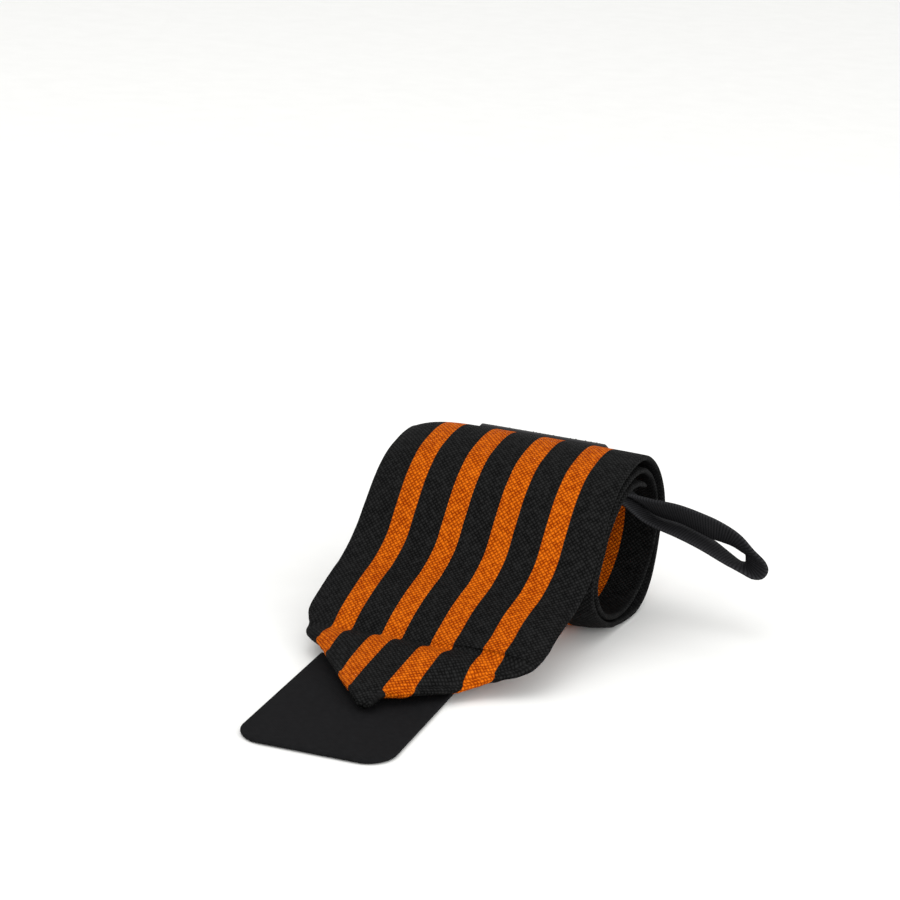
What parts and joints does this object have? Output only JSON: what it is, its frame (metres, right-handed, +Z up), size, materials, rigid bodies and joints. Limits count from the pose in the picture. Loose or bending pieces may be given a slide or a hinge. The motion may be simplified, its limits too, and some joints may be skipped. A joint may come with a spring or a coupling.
{
  "type": "wrist wrap",
  "caption": "Striped elastic wrist wrap lying on its side, partly unrolled, with a thumb loop at its inner end and a hook tab sewn under its pointed free end.",
  "frame": {"origin": "on the surface that the wrap lies on, under the centre of its bounding box", "axes": "+Z up from that surface, +Y from the hook tab towards the roll, +X along the roll's axis towards the thumb loop"},
  "size_m": [0.1224, 0.1702, 0.0533],
  "materials": {
    "woven_elastic": "black woven elastic with lengthwise orange stripes",
    "pile_tape": "black brushed loop pile",
    "hook_tape": "matte black hook tape",
    "ribbed_elastic": "black ribbed elastic tape"
  },
  "bodies": {
    "root": {"wrap_band": "woven_elastic", "pile_patch": "pile_tape", "hook_tab": "hook_tape", "thumb_loop": "ribbed_elastic"}
  },
  "joints": []
}
